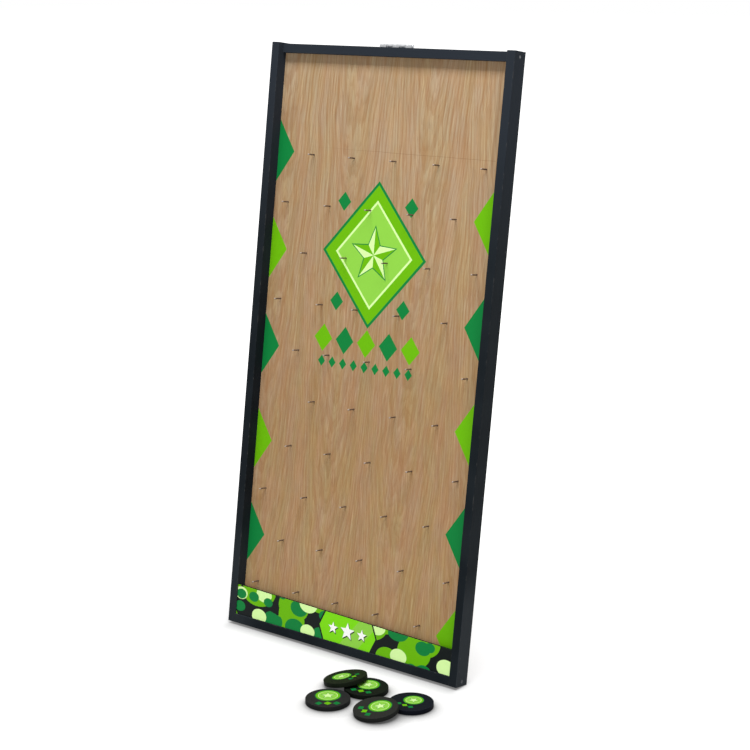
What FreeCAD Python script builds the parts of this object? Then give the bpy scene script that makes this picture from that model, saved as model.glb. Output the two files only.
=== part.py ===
import FreeCAD, Part
import math
import os

# Prize drop game board: an upright pegged panel in a timber frame that leans back
# on a hinged rear leg, with a catch panel across the foot and five loose discs.
# Millimetres. Z is up, the front faces -Y, and the origin is on the floor, at the
# middle of the board's rear bottom edge, which is the edge that it stands on.
# The board is built upright in its own frame, with its back at Y = 0 and its foot
# at Z = 0, and is then leaned back about that edge.

# Frame timber and sheets
BOARD_WIDTH = 609.6
BOARD_HEIGHT = 1257.3
RAIL_THICKNESS = 19.05
RAIL_DEPTH = 38.1
EASED_EDGE = 0.8
TOP_RAIL_DEPTH = 22.6
TOP_RAIL_SETDOWN = 1.5
PANEL_THICKNESS = 12.7
LEAN = 8.0

# Catch panel: its top edge falls a little from left to right
CATCH_THICKNESS = 6.35
CATCH_SETBACK = 3.0
CATCH_HEIGHT_LEFT = 65.5
CATCH_HEIGHT_RIGHT = 53.5

# Pegs: odd rows and even rows mirror each other. Rows four and five have pegs that
# are shifted from their places, and row six lacks its leftmost peg.
ROW_COUNT = 10
ROW_PITCH = 103.4
BOTTOM_ROW_ABOVE_CATCH = 12.95
PEG_PITCH = 106.7
PEG_END_INSET = 38.1
PEG_RADIUS = 1.5
PEG_REACH = 21.0
PEG_SET_DEPTH = 9.5
ROW_FOUR_SHIFT = -12.7
ROW_FIVE_SHIFT = -24.0

# Fasteners of the frame
RAIL_SCREW_LENGTH = 38.1
RAIL_SCREW_RADIUS = 1.9
RAIL_SCREW_HEAD_RADIUS = 3.6
RAIL_SCREW_HEAD_DEPTH = 2.6
TOP_SCREW_FROM_FRONT = 3.2
BRAD_RADIUS = 0.8
BRAD_LENGTH = 31.75
PANEL_BRADS_PER_SIDE = 5
CATCH_BRADS_PER_SIDE = 2

# Hinge at the top of the back
HINGE_LENGTH = 80.0
HINGE_PLATE = 1.8
HINGE_PIN_RADIUS = 2.4
HINGE_PIN_HEAD_RADIUS = 3.4
HINGE_PIN_HEAD = 1.6
HINGE_LEAF_WIDTH = 20.5
HINGE_LIFT = 0.3
HINGE_CORNER_RADIUS = 3.0
KNUCKLE_COUNT = 5
KNUCKLE_GAP = 0.4
HINGE_SCREW_COUNT = 3
HINGE_SCREW_PITCH = 28.0
HINGE_SCREW_LENGTH = 14.0
HINGE_SCREW_RADIUS = 1.6
HINGE_SCREW_HEAD_RADIUS = 3.1

# Rear leg
LEG_WIDTH = 88.9
LEG_THICKNESS = 19.05
LEG_OFFSET = -8.0
LEG_OPEN_ANGLE = 15.0
LEG_TOP_DROP = 4.0

# Slotted stay that stops the leg
STAY_ON_BOARD = 200.0
STAY_ON_LEG = 600.0
STAY_WIDTH = 16.0
STAY_THICKNESS = 2.0
STAY_PIN_RADIUS = 2.5
STAY_HEAD_RADIUS = 5.2
STAY_HEAD = 2.2
STAY_END_LAND = 6.0
STAY_SCREW_GRIP = 15.0
SLOT_SIDE_CLEARANCE = 1.2
BRACKET_PLATE = 1.6
BRACKET_FLANGE = 18.0
BRACKET_LENGTH = 44.0
BRACKET_EAR_RADIUS = 9.0
BRACKET_SCREW_PITCH = 28.0
BRACKET_SCREW_LENGTH = 10.0
BRACKET_SCREW_RADIUS = 1.6
BRACKET_SCREW_HEAD_RADIUS = 3.2
BRACKET_SCREW_HEAD = 1.8

# Discs, as they lie on the floor in front. The first has its middle's place across
# and its rim's distance from the board. Each other one has a neighbour, the angle of
# its bearing from it in degrees from +X, and the spacing of their rims. Where that is
# negative, the disc leans with one edge on its neighbour.
DISC_DIAMETER = 88.9
DISC_THICKNESS = 9.525
DISC_EDGE_CHAMFER = 0.8
FIRST_DISC = "disc_back_middle"
FIRST_DISC_X = 163.0
FIRST_DISC_FROM_BOARD = 64.8
BACK_LEFT_BEARING_ANGLE = 181.1
BACK_LEFT_OVERLAP = 37.9
FRONT_LEFT_BEARING_ANGLE = 253.4
FRONT_LEFT_GAP = 4.0
RIGHT_BEARING_ANGLE = 357.7
RIGHT_GAP = 25.2
FRONT_MIDDLE_BEARING_ANGLE = 247.2
FRONT_MIDDLE_OVERLAP = 10.2
OTHER_DISCS = {
    "disc_back_left": (FIRST_DISC, BACK_LEFT_BEARING_ANGLE, -BACK_LEFT_OVERLAP),
    "disc_front_left": (FIRST_DISC, FRONT_LEFT_BEARING_ANGLE, FRONT_LEFT_GAP),
    "disc_right": (FIRST_DISC, RIGHT_BEARING_ANGLE, RIGHT_GAP),
    "disc_front_middle": ("disc_right", FRONT_MIDDLE_BEARING_ANGLE, -FRONT_MIDDLE_OVERLAP),
}

# Round pieces that repeat are faceted, so that the whole model stays light
DISC_SIDES = 72
PEG_SIDES = 10
SCREW_SIDES = 12
BRAD_SIDES = 6

# Clearances
RUNNING_CLEARANCE = 0.08
SEAT_GAP = 0.3
CUT_OVERRUN = 1.0

# Derived sizes
INNER_WIDTH = BOARD_WIDTH - 2 * RAIL_THICKNESS
TOP_RAIL_TOP = BOARD_HEIGHT - TOP_RAIL_SETDOWN
TOP_RAIL_UNDERSIDE = TOP_RAIL_TOP - RAIL_THICKNESS
CATCH_HIGHEST = RAIL_THICKNESS + max(CATCH_HEIGHT_LEFT, CATCH_HEIGHT_RIGHT)
PANEL_FACE = -PANEL_THICKNESS
BARREL_RADIUS = HINGE_PIN_RADIUS + RUNNING_CLEARANCE + HINGE_PLATE
HINGE_AXIS_Y = BARREL_RADIUS
HINGE_AXIS_Z = TOP_RAIL_TOP + HINGE_LIFT + BARREL_RADIUS
LEG_FRONT = 2 * BARREL_RADIUS
LEG_MIDDLE = LEG_FRONT + LEG_THICKNESS / 2
LEG_SIDE = LEG_OFFSET - LEG_WIDTH / 2
EAR_INNER = LEG_SIDE - SEAT_GAP
STAY_INNER = EAR_INNER - BRACKET_PLATE - SEAT_GAP
STAY_OUTER = STAY_INNER - STAY_THICKNESS
STAY_HEAD_INNER = STAY_OUTER - SEAT_GAP
STAY_FOLDED_SPAN = STAY_ON_LEG - STAY_ON_BOARD
PIN_Z = HINGE_AXIS_Z - STAY_ON_BOARD

X_AXIS = FreeCAD.Vector(1, 0, 0)
Y_AXIS = FreeCAD.Vector(0, 1, 0)
Z_AXIS = FreeCAD.Vector(0, 0, 1)
ORIGIN = FreeCAD.Vector(0, 0, 0)


# Basic forms
def block(x_low, x_high, y_low, y_high, z_low, z_high):
    corner = FreeCAD.Vector(x_low, y_low, z_low)
    return Part.makeBox(x_high - x_low, y_high - y_low, z_high - z_low, corner)


def rod(start, direction, length, radius):
    return Part.makeCylinder(radius, length, FreeCAD.Vector(*start), direction)


def ring(radius, height, sides):
    corners = []
    for index in range(sides):
        angle = 2 * math.pi * index / sides
        corners.append(FreeCAD.Vector(radius * math.cos(angle), radius * math.sin(angle), height))
    return corners


def facet(corners):
    return Part.Face(Part.makePolygon(corners + [corners[0]]))


def turned(profile, sides):
    """Faceted round solid about Z from (radius, height) rings, closed flat at both ends."""
    rings = [ring(radius, height, sides) for radius, height in profile]
    faces = [facet(rings[0]), facet(rings[-1])]
    for upper, lower in zip(rings, rings[1:]):
        for index in range(sides):
            after = (index + 1) % sides
            faces.append(facet([upper[index], upper[after], lower[after], lower[index]]))
    solid = Part.makeSolid(Part.makeShell(faces))
    if solid.Volume < 0:
        solid.reverse()
    return solid


def aim(shape, place, direction):
    """Turns a form made along -Z so that it points along direction, then places it."""
    shape = shape.copy()
    turn = FreeCAD.Rotation(FreeCAD.Vector(0, 0, -1), direction)
    shape.Placement = FreeCAD.Placement(FreeCAD.Vector(*place), turn)
    return shape


def flat_head_screw(head_radius, head_depth, shank_radius, length):
    taper = 2 * shank_radius
    tip_radius = shank_radius / 4
    return turned([
        (head_radius, 0),
        (shank_radius, -head_depth),
        (shank_radius, taper - length),
        (tip_radius, -length),
    ], SCREW_SIDES)


def pan_head_screw(head_radius, head_height, shank_radius, length):
    """The underside of the head is at Z = 0 and its shank runs along -Z."""
    crown = head_height / 2
    return turned([
        (head_radius - crown, head_height),
        (head_radius, head_height - crown),
        (head_radius, 0),
        (shank_radius, 0),
        (shank_radius, -length),
    ], SCREW_SIDES)


def ease_edges(shape, direction, radius):
    """Rounds the edges that run along direction."""
    edges = []
    for edge in shape.Edges:
        run = edge.Vertexes[-1].Point - edge.Vertexes[0].Point
        if run.Length > 0 and abs(run.normalize().dot(direction)) > 0.999:
            edges.append(edge)
    return shape.makeFillet(radius, edges)


def rounded_bar(low_z, high_z, radius, x_low, x_high, y_middle):
    """Flat bar with round ends: low_z and high_z are the middles of the end arcs."""
    left = y_middle - radius
    right = y_middle + radius
    low_left = FreeCAD.Vector(x_low, left, low_z)
    low_right = FreeCAD.Vector(x_low, right, low_z)
    high_left = FreeCAD.Vector(x_low, left, high_z)
    high_right = FreeCAD.Vector(x_low, right, high_z)
    bottom = FreeCAD.Vector(x_low, y_middle, low_z - radius)
    top = FreeCAD.Vector(x_low, y_middle, high_z + radius)
    wire = Part.Wire([
        Part.LineSegment(low_right, high_right).toShape(),
        Part.Arc(high_right, top, high_left).toShape(),
        Part.LineSegment(high_left, low_left).toShape(),
        Part.Arc(low_left, bottom, low_right).toShape(),
    ])
    return Part.Face(wire).extrude(FreeCAD.Vector(x_high - x_low, 0, 0))


def spread(count, pitch):
    """Places of count copies at pitch, centred on zero."""
    return [(index - (count - 1) / 2) * pitch for index in range(count)]


# Placing
def lean(shape):
    shape = shape.copy()
    shape.rotate(ORIGIN, X_AXIS, -LEAN)
    return shape


def swing(shape, angle):
    """Turns a folded piece out about the hinge."""
    shape = shape.copy()
    shape.rotate(FreeCAD.Vector(0, HINGE_AXIS_Y, HINGE_AXIS_Z), X_AXIS, angle)
    return shape


def swing_point(y, z, angle):
    turn = FreeCAD.Rotation(X_AXIS, angle)
    axis = FreeCAD.Vector(0, HINGE_AXIS_Y, HINGE_AXIS_Z)
    return turn.multVec(FreeCAD.Vector(0, y, z) - axis) + axis


# Fasteners of the frame
def rail_screws():
    pattern = flat_head_screw(RAIL_SCREW_HEAD_RADIUS, RAIL_SCREW_HEAD_DEPTH,
                              RAIL_SCREW_RADIUS, RAIL_SCREW_LENGTH)
    places = (
        (-RAIL_DEPTH / 2, RAIL_THICKNESS / 2),
        (TOP_SCREW_FROM_FRONT - TOP_RAIL_DEPTH, TOP_RAIL_TOP - RAIL_THICKNESS / 2),
    )
    screws = []
    for y, height in places:
        for side in (-1, 1):
            place = (side * BOARD_WIDTH / 2, y, height)
            screws.append(aim(pattern, place, X_AXIS * -side))
    return screws


def side_brads(y, heights_by_side):
    """Brads driven through each side rail into a panel's end, at the given heights."""
    pattern = turned([(BRAD_RADIUS, 0), (BRAD_RADIUS, -BRAD_LENGTH)], BRAD_SIDES)
    brads = []
    for side, heights in heights_by_side.items():
        for height in heights:
            brads.append(aim(pattern, (side * BOARD_WIDTH / 2, y, height), X_AXIS * -side))
    return brads


def panel_brads():
    pitch = (TOP_RAIL_UNDERSIDE - RAIL_THICKNESS) / PANEL_BRADS_PER_SIDE
    middle = (TOP_RAIL_UNDERSIDE + RAIL_THICKNESS) / 2
    heights = [middle + offset for offset in spread(PANEL_BRADS_PER_SIDE, pitch)]
    return side_brads(PANEL_FACE / 2, {-1: heights, 1: heights})


def catch_brads():
    middle_y = -RAIL_DEPTH + CATCH_SETBACK + CATCH_THICKNESS / 2
    heights_by_side = {}
    for side, height in ((-1, CATCH_HEIGHT_LEFT), (1, CATCH_HEIGHT_RIGHT)):
        middle = RAIL_THICKNESS + height / 2
        pitch = height / CATCH_BRADS_PER_SIDE
        heights_by_side[side] = [middle + step for step in spread(CATCH_BRADS_PER_SIDE, pitch)]
    return side_brads(middle_y, heights_by_side)


# Frame
def side_rail(side, fasteners):
    outer = side * BOARD_WIDTH / 2
    inner = side * INNER_WIDTH / 2
    rail = block(min(outer, inner), max(outer, inner), -RAIL_DEPTH, 0, 0, BOARD_HEIGHT)
    return ease_edges(rail, Z_AXIS, EASED_EDGE).cut(fasteners)


def cross_rail(depth, underside, fasteners):
    half = INNER_WIDTH / 2
    rail = block(-half, half, -depth, 0, underside, underside + RAIL_THICKNESS)
    return ease_edges(rail, X_AXIS, EASED_EDGE).cut(fasteners)


# Pegs and panel
def row_places(row):
    """Peg places across the board; row 1 is the top row."""
    half = INNER_WIDTH / 2
    step = PEG_PITCH / 4
    places = [step + PEG_PITCH * count for count in (-2, -1, 0, 1)]
    places.append(half - PEG_END_INSET)
    if row % 2 == 0:
        places = [-place for place in reversed(places)]
    if row == 4:
        places[2] += ROW_FOUR_SHIFT
        places[3] += ROW_FOUR_SHIFT
    if row == 5:
        places[1] += ROW_FIVE_SHIFT
        places[2] += ROW_FIVE_SHIFT
        places[3] += ROW_FIVE_SHIFT
    if row == 6:
        places = places[1:]
    return places


def row_height(row):
    return CATCH_HIGHEST + BOTTOM_ROW_ABOVE_CATCH + ROW_PITCH * (ROW_COUNT - row)


def peg_row(row):
    """Plain steel pins, each set in the panel and standing out towards the player."""
    length = PEG_REACH + PEG_SET_DEPTH
    pattern = turned([(PEG_RADIUS, 0), (PEG_RADIUS, -length)], PEG_SIDES)
    seat = PANEL_FACE + PEG_SET_DEPTH
    forward = FreeCAD.Vector(0, -1, 0)
    return [aim(pattern, (x, seat, row_height(row)), forward) for x in row_places(row)]


def back_panel(cutters):
    half = INNER_WIDTH / 2
    sheet = block(-half, half, PANEL_FACE, 0, RAIL_THICKNESS, TOP_RAIL_UNDERSIDE)
    return sheet.cut(cutters)


def catch_panel(fasteners):
    half = INNER_WIDTH / 2
    front = -RAIL_DEPTH + CATCH_SETBACK
    outline = [
        FreeCAD.Vector(-half, front, RAIL_THICKNESS),
        FreeCAD.Vector(half, front, RAIL_THICKNESS),
        FreeCAD.Vector(half, front, RAIL_THICKNESS + CATCH_HEIGHT_RIGHT),
        FreeCAD.Vector(-half, front, RAIL_THICKNESS + CATCH_HEIGHT_LEFT),
    ]
    face = Part.Face(Part.makePolygon(outline + [outline[0]]))
    return face.extrude(FreeCAD.Vector(0, CATCH_THICKNESS, 0)).cut(fasteners)


# Hinge, made folded: both plates hang down, face to face
def hinge_screws(on_leg):
    pattern = flat_head_screw(HINGE_SCREW_HEAD_RADIUS, HINGE_PLATE,
                              HINGE_SCREW_RADIUS, HINGE_SCREW_LENGTH)
    plate_on_wood = HINGE_LEAF_WIDTH - BARREL_RADIUS - HINGE_LIFT
    height = TOP_RAIL_TOP - plate_on_wood / 2
    if on_leg:
        head_y = LEG_FRONT - HINGE_PLATE
        inward = Y_AXIS
    else:
        head_y = HINGE_PLATE
        inward = Y_AXIS * -1
    places = spread(HINGE_SCREW_COUNT, HINGE_SCREW_PITCH)
    return [aim(pattern, (LEG_OFFSET + x, head_y, height), inward) for x in places]


def hinge_leaf(on_leg, screws):
    """Rolled plate: the board's leaf has the even knuckles, the leg's the odd ones."""
    left = LEG_OFFSET - HINGE_LENGTH / 2
    wood_side = LEG_FRONT - HINGE_PLATE if on_leg else 0
    foot = HINGE_AXIS_Z - HINGE_LEAF_WIDTH
    plate = block(left, left + HINGE_LENGTH, wood_side, wood_side + HINGE_PLATE,
                  foot, HINGE_AXIS_Z)
    corners = []
    for edge in plate.Edges:
        along_y = abs(edge.Vertexes[0].Y - edge.Vertexes[-1].Y) > HINGE_PLATE / 2
        if along_y and edge.Vertexes[0].Z < foot + HINGE_PLATE:
            corners.append(edge)
    leaf = plate.makeFillet(HINGE_CORNER_RADIUS, corners)
    width = HINGE_LENGTH / KNUCKLE_COUNT
    reach = BARREL_RADIUS + KNUCKLE_GAP
    for index in range(KNUCKLE_COUNT):
        start = left + index * width
        if index % 2 == int(on_leg):
            low = start + (KNUCKLE_GAP / 2 if index > 0 else 0)
            high = start + width - (KNUCKLE_GAP / 2 if index < KNUCKLE_COUNT - 1 else 0)
            place = (low, HINGE_AXIS_Y, HINGE_AXIS_Z)
            leaf = leaf.fuse(rod(place, X_AXIS, high - low, BARREL_RADIUS))
        else:
            leaf = leaf.cut(block(start - KNUCKLE_GAP / 2, start + width + KNUCKLE_GAP / 2,
                                  HINGE_AXIS_Y - reach, HINGE_AXIS_Y + reach,
                                  HINGE_AXIS_Z - reach, HINGE_AXIS_Z + reach))
    bore = rod((left - CUT_OVERRUN, HINGE_AXIS_Y, HINGE_AXIS_Z), X_AXIS,
               HINGE_LENGTH + 2 * CUT_OVERRUN, HINGE_PIN_RADIUS + RUNNING_CLEARANCE)
    return leaf.cut([bore] + screws).removeSplitter()


def hinge_pin():
    """Pin with a low button head against each end of the barrel."""
    left = LEG_OFFSET - HINGE_LENGTH / 2
    pin = rod((left, HINGE_AXIS_Y, HINGE_AXIS_Z), X_AXIS, HINGE_LENGTH, HINGE_PIN_RADIUS)
    for x, outward in ((left, X_AXIS * -1), (left + HINGE_LENGTH, X_AXIS)):
        place = (x, HINGE_AXIS_Y, HINGE_AXIS_Z)
        pin = pin.fuse(rod(place, outward, HINGE_PIN_HEAD, HINGE_PIN_HEAD_RADIUS))
    return pin.removeSplitter()


# Rear leg
def rear_leg(fasteners):
    """Plank behind the board, opened, leaned with it, and cut level at both ends."""
    half = LEG_WIDTH / 2
    top = swing_point(LEG_FRONT, TOP_RAIL_TOP - LEG_TOP_DROP, LEG_OPEN_ANGLE)
    top = FreeCAD.Rotation(X_AXIS, -LEAN).multVec(top)
    plank = block(LEG_OFFSET - half, LEG_OFFSET + half, LEG_FRONT,
                  LEG_FRONT + LEG_THICKNESS, -LEG_WIDTH, TOP_RAIL_TOP + LEG_WIDTH)
    plank = ease_edges(plank, Z_AXIS, EASED_EDGE).cut(fasteners)
    plank = lean(swing(plank, LEG_OPEN_ANGLE))
    keep = block(LEG_OFFSET - LEG_WIDTH, LEG_OFFSET + LEG_WIDTH,
                 -BOARD_HEIGHT, BOARD_HEIGHT, 0, top.z)
    return plank.common(keep)


# Stay: a strap pivoted on the leg's side, with a slot that rides on the board's pin
def stay_span(angle):
    """Distance from the leg's pivot to the board's pin with the leg open by angle."""
    pivot = swing_point(LEG_MIDDLE, HINGE_AXIS_Z - STAY_ON_LEG, angle)
    return math.hypot(LEG_MIDDLE - pivot.y, PIN_Z - pivot.z)


def stay_angle(angle):
    """Turn of the strap from the board's upright with the leg open by angle."""
    pivot = swing_point(LEG_MIDDLE, HINGE_AXIS_Z - STAY_ON_LEG, angle)
    return math.degrees(math.atan2(pivot.y - LEG_MIDDLE, PIN_Z - pivot.z))


def stay_strap():
    """Made upright from its pivot, then turned to point at the board's pin."""
    pivot_z = HINGE_AXIS_Z - STAY_ON_LEG
    open_span = stay_span(LEG_OPEN_ANGLE)
    slot_radius = STAY_PIN_RADIUS + SLOT_SIDE_CLEARANCE
    slot_low = pivot_z + STAY_FOLDED_SPAN
    slot_high = pivot_z + open_span - SLOT_SIDE_CLEARANCE + SEAT_GAP
    strap_high = slot_high + slot_radius + STAY_END_LAND - STAY_WIDTH / 2
    strap = rounded_bar(pivot_z, strap_high, STAY_WIDTH / 2, STAY_OUTER, STAY_INNER, LEG_MIDDLE)
    cut_from = STAY_OUTER - CUT_OVERRUN
    cut_to = STAY_INNER + CUT_OVERRUN
    slot = rounded_bar(slot_low, slot_high, slot_radius, cut_from, cut_to, LEG_MIDDLE)
    hole = rod((cut_from, LEG_MIDDLE, pivot_z), X_AXIS, cut_to - cut_from,
               STAY_PIN_RADIUS + RUNNING_CLEARANCE)
    strap = strap.cut([slot, hole])
    pivot = swing_point(LEG_MIDDLE, pivot_z, LEG_OPEN_ANGLE)
    strap.translate(FreeCAD.Vector(0, pivot.y - LEG_MIDDLE, pivot.z - pivot_z))
    strap.rotate(pivot, X_AXIS, stay_angle(LEG_OPEN_ANGLE))
    return lean(strap)


def stay_pivot_screw():
    """Round-head screw in the leg's side, made folded."""
    place = (STAY_HEAD_INNER, LEG_MIDDLE, HINGE_AXIS_Z - STAY_ON_LEG)
    grip = LEG_SIDE - STAY_HEAD_INNER + STAY_SCREW_GRIP
    screw = pan_head_screw(STAY_HEAD_RADIUS, STAY_HEAD, STAY_PIN_RADIUS, grip)
    return aim(screw, place, X_AXIS)


def stay_spacer():
    thickness = LEG_SIDE - STAY_INNER - SEAT_GAP
    collar = turned([(STAY_HEAD_RADIUS, 0), (STAY_HEAD_RADIUS, -thickness)], SCREW_SIDES)
    place = (LEG_SIDE - thickness, LEG_MIDDLE, HINGE_AXIS_Z - STAY_ON_LEG)
    return aim(collar, place, X_AXIS).cut(stay_pivot_screw())


def stay_pin():
    """Rivet through the bracket's ear and the slot, with its head outside."""
    length = EAR_INNER - STAY_HEAD_INNER
    rivet = pan_head_screw(STAY_HEAD_RADIUS, STAY_HEAD, STAY_PIN_RADIUS, length)
    return aim(rivet, (STAY_HEAD_INNER, LEG_MIDDLE, PIN_Z), X_AXIS)


def bracket_screws():
    pattern = pan_head_screw(BRACKET_SCREW_HEAD_RADIUS, BRACKET_SCREW_HEAD,
                             BRACKET_SCREW_RADIUS, BRACKET_SCREW_LENGTH)
    middle_x = EAR_INNER - BRACKET_FLANGE / 2
    inward = Y_AXIS * -1
    places = spread(2, BRACKET_SCREW_PITCH)
    return [aim(pattern, (middle_x, BRACKET_PLATE, PIN_Z + z), inward) for z in places]


def stay_bracket(pin, screws):
    """Pressed angle: a flange on the board's back and an ear that holds the pin."""
    flange = block(EAR_INNER - BRACKET_FLANGE, EAR_INNER, 0, BRACKET_PLATE,
                   PIN_Z - BRACKET_LENGTH / 2, PIN_Z + BRACKET_LENGTH / 2)
    ear = block(EAR_INNER - BRACKET_PLATE, EAR_INNER, 0, LEG_MIDDLE,
                PIN_Z - BRACKET_EAR_RADIUS, PIN_Z + BRACKET_EAR_RADIUS)
    nose = rod((EAR_INNER - BRACKET_PLATE, LEG_MIDDLE, PIN_Z), X_AXIS,
               BRACKET_PLATE, BRACKET_EAR_RADIUS)
    return flange.fuse([ear, nose]).cut([pin] + screws).removeSplitter()


# Discs
def disc_places():
    """Middles of the undersides, on the floor."""
    board_front = -RAIL_DEPTH * math.cos(math.radians(LEAN))
    first_y = board_front - FIRST_DISC_FROM_BOARD - DISC_DIAMETER / 2
    places = {FIRST_DISC: FreeCAD.Vector(FIRST_DISC_X, first_y, 0)}
    for name, (neighbour, bearing, gap) in OTHER_DISCS.items():
        away = FreeCAD.Rotation(Z_AXIS, bearing).multVec(X_AXIS)
        places[name] = places[neighbour] + away * (DISC_DIAMETER + gap)
    return places


def disc(name):
    """Flat on the floor, or tilted with its far edge on the disc it leans on."""
    radius = DISC_DIAMETER / 2
    form = turned([
        (radius - DISC_EDGE_CHAMFER, DISC_THICKNESS),
        (radius, DISC_THICKNESS - DISC_EDGE_CHAMFER),
        (radius, DISC_EDGE_CHAMFER),
        (radius - DISC_EDGE_CHAMFER, 0),
    ], DISC_SIDES)
    places = disc_places()
    place = places[name]
    if name != FIRST_DISC and OTHER_DISCS[name][2] < 0:
        toward = places[OTHER_DISCS[name][0]] - place
        tilt = math.atan2(DISC_THICKNESS + SEAT_GAP, toward.Length)
        form.rotate(ORIGIN, toward.cross(Z_AXIS), math.degrees(tilt))
        place = place + Z_AXIS * (radius * math.sin(tilt))
    form.translate(place)
    return form


# Assembly
def build():
    """Every sub-part in its place, by name."""
    rows = {row: peg_row(row) for row in range(1, ROW_COUNT + 1)}
    all_pegs = [pin for row in rows.values() for pin in row]
    corner_screws = rail_screws()
    brads_in_panel = panel_brads()
    brads_in_catch = catch_brads()
    board_hinge_screws = hinge_screws(False)
    leg_hinge_screws = hinge_screws(True)
    pin = stay_pin()
    bracket_fixings = bracket_screws()
    pivot_screw = stay_pivot_screw()
    frame_fasteners = corner_screws + brads_in_panel + brads_in_catch

    board = {
        "left_side_rail": side_rail(-1, frame_fasteners),
        "right_side_rail": side_rail(1, frame_fasteners),
        "bottom_rail": cross_rail(RAIL_DEPTH, 0, corner_screws),
        "top_rail": cross_rail(TOP_RAIL_DEPTH, TOP_RAIL_UNDERSIDE,
                               corner_screws + board_hinge_screws),
        "back_panel": back_panel(all_pegs + brads_in_panel + bracket_fixings),
        "catch_panel": catch_panel(brads_in_catch),
        "rail_screws": Part.makeCompound(corner_screws),
        "back_panel_brads": Part.makeCompound(brads_in_panel),
        "catch_panel_brads": Part.makeCompound(brads_in_catch),
        "hinge_board_leaf": hinge_leaf(False, board_hinge_screws),
        "hinge_pin": hinge_pin(),
        "hinge_board_screws": Part.makeCompound(board_hinge_screws),
        "stay_bracket": stay_bracket(pin, bracket_fixings),
        "stay_pin": pin,
        "stay_bracket_screws": Part.makeCompound(bracket_fixings),
    }
    for row, pins in rows.items():
        board["peg_row_%d" % row] = Part.makeCompound(pins)
    leg = {
        "hinge_leg_leaf": hinge_leaf(True, leg_hinge_screws),
        "hinge_leg_screws": Part.makeCompound(leg_hinge_screws),
        "stay_pivot_screw": pivot_screw,
        "stay_spacer": stay_spacer(),
    }
    parts = {name: lean(shape) for name, shape in board.items()}
    for name, shape in leg.items():
        parts[name] = lean(swing(shape, LEG_OPEN_ANGLE))
    parts["rear_leg"] = rear_leg(leg_hinge_screws + [pivot_screw])
    parts["stay_strap"] = stay_strap()
    for name in disc_places():
        parts[name] = disc(name)
    return parts


def write(parts):
    os.makedirs("parts", exist_ok=True)
    for name, shape in parts.items():
        shape.exportStep("parts/%s.step" % name)


def report(parts):
    """Prints the joint places and angles that the moving pieces need."""
    axis = FreeCAD.Rotation(X_AXIS, -LEAN).multVec(
        FreeCAD.Vector(LEG_OFFSET, HINGE_AXIS_Y, HINGE_AXIS_Z))
    pivot = swing_point(LEG_MIDDLE, HINGE_AXIS_Z - STAY_ON_LEG, LEG_OPEN_ANGLE)
    pivot.x = (STAY_INNER + STAY_OUTER) / 2
    pivot = FreeCAD.Rotation(X_AXIS, -LEAN).multVec(pivot)
    turn = stay_angle(LEG_OPEN_ANGLE) - LEG_OPEN_ANGLE
    print("sub-parts", len(parts))
    print("solids", sum(len(shape.Solids) for shape in parts.values()))
    print("hinge axis", [round(value, 3) for value in axis])
    print("stay pivot", [round(value, 3) for value in pivot])
    print("stay turn on the leg", round(turn, 4), "ratio", round(turn / LEG_OPEN_ANGLE, 5))
    worst = 0
    for step in range(21):
        angle = LEG_OPEN_ANGLE * step / 20
        true_turn = stay_angle(angle) - angle
        missed = math.radians(true_turn - turn * angle / LEG_OPEN_ANGLE)
        worst = max(worst, abs(missed) * stay_span(angle))
    print("most that the pin strays across the slot", round(worst, 3))
    foot = parts["rear_leg"].BoundBox
    print("leg foot from", round(foot.YMax, 2), "leg top", round(foot.ZMax, 2))


sub_parts = build()
write(sub_parts)
report(sub_parts)
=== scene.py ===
# %% [markdown]
# # A prize drop game board
# A player lets a disc go at the top of this board, and it rattles down through ten
# rows of pegs into the pocket behind the catch panel. The board's construction comes
# from its CAD model. This lesson dresses that model: it gives each piece the finish
# of the real one, and makes smoother pegs, screws and discs where the model is plain.
# Everything is in metres, with Z up and the board's front facing -Y.

# %% Load the model
import math

import bmesh
import bpy
import numpy as np
from mathutils import Matrix, Vector


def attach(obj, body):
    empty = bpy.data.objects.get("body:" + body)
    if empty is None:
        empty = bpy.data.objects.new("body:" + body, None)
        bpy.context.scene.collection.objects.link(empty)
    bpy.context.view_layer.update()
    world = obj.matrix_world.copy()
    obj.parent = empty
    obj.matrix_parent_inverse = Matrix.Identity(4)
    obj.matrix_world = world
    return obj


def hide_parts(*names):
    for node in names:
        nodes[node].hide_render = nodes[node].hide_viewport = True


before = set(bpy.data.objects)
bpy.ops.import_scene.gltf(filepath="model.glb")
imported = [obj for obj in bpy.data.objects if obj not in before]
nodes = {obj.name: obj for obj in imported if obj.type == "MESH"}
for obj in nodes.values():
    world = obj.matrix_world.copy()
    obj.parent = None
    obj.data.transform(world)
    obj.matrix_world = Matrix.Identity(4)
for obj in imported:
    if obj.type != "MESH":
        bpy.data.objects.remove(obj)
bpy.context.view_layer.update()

# %% [markdown]
# ## The board's own axes
# The board leans back by eight degrees about its rear bottom edge, which is the
# origin, and its rear leg leans forward by seven. Patterns and sizes are easier to
# think about on an upright board, so one matrix turns upright board places into the
# leaning ones, and its inverse turns the model's points back.

# %% Lean the board's axes
LEAN = math.radians(8)
LEG_LEAN = math.radians(7)
leaning = Matrix.Rotation(-LEAN, 4, "X")
upright = leaning.inverted()


def points_of(name):
    """The corners of a CAD node, one row each."""
    return np.array([vertex.co for vertex in nodes[name].data.vertices])


def upright_box(name):
    """Lowest and highest corner of a node on the upright board."""
    turned_back = points_of(name) @ np.array(upright.to_3x3()).T
    return turned_back.min(0), turned_back.max(0)


panel_low, panel_high = upright_box("back_panel")
catch_low, catch_high = upright_box("catch_panel")
print("panel", panel_low.round(4), panel_high.round(4))

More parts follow.
